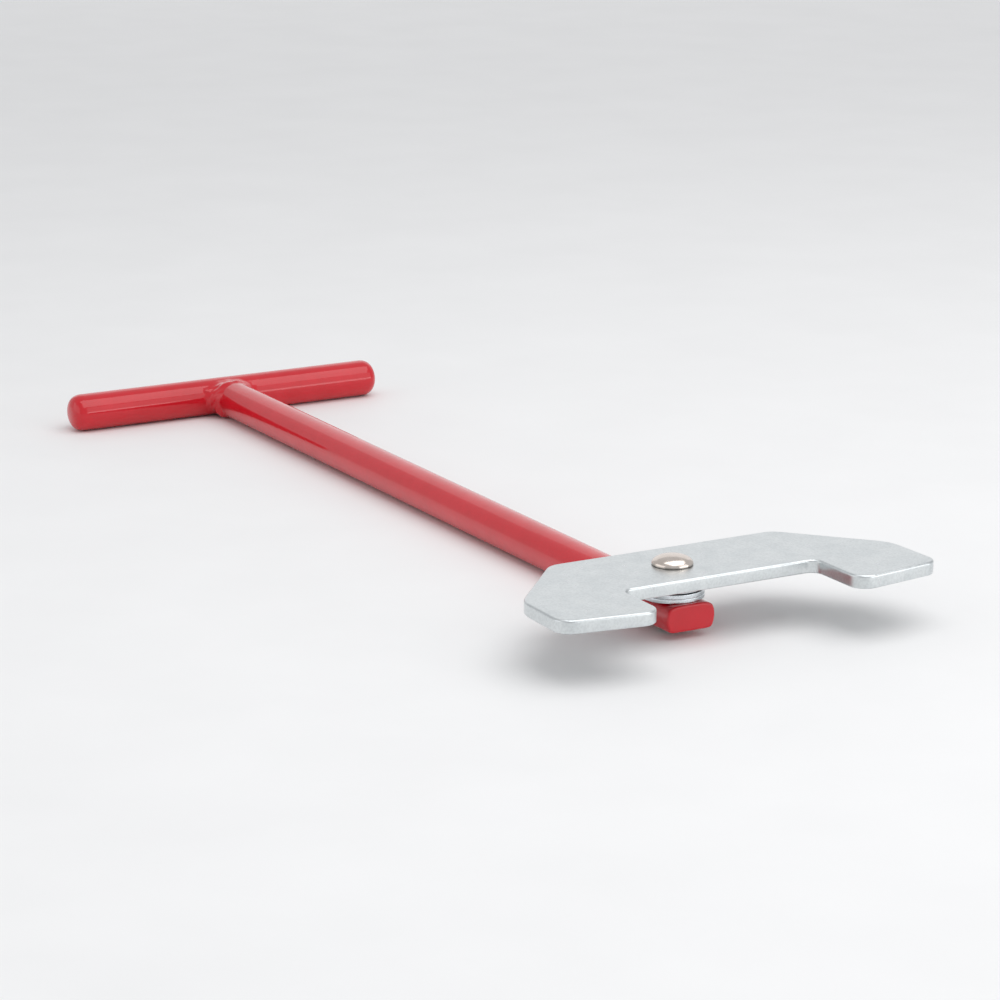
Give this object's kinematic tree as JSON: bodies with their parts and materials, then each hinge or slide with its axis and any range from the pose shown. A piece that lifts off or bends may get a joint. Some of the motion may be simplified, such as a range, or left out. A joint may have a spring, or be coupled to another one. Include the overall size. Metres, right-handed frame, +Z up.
{
  "type": "basin wrench",
  "caption": "T-handled wrench in round bar with a swivelling flat plate that has fixed jaws for large flat-sided nuts.",
  "frame": {"origin": "middle of the bounding box, on the surface that the tool lies on", "axes": "+X runs along the shaft from the handle to the head, +Y along the crossbar, +Z up, along the pivot"},
  "size_m": [0.4336, 0.1602, 0.0283],
  "materials": {
    "red_coat": "glossy powder coat on steel",
    "zinc_plate": "pale bluish zinc plating, satin",
    "zinc_washer": "bright zinc plating",
    "spring_steel": "zinc-plated spring steel",
    "rivet_steel": "polished nickel-plated steel"
  },
  "bodies": {
    "handle": {"crossbar": "red_coat", "weld_bead": "red_coat", "shaft": "red_coat", "pivot_rivet": "rivet_steel", "lower_flat_washer": "zinc_washer", "second_flat_washer": "zinc_washer", "disc_spring": "spring_steel", "upper_flat_washer": "zinc_washer"},
    "head": {"jaw_plate": "zinc_plate"}
  },
  "joints": [
    {"name": "head_pivot", "type": "hinge", "parent": "handle", "child": "head", "pos_m": [0.16992, -0.00615, 0.02203], "axis": [0, 0, 1], "continuous": true}
  ]
}
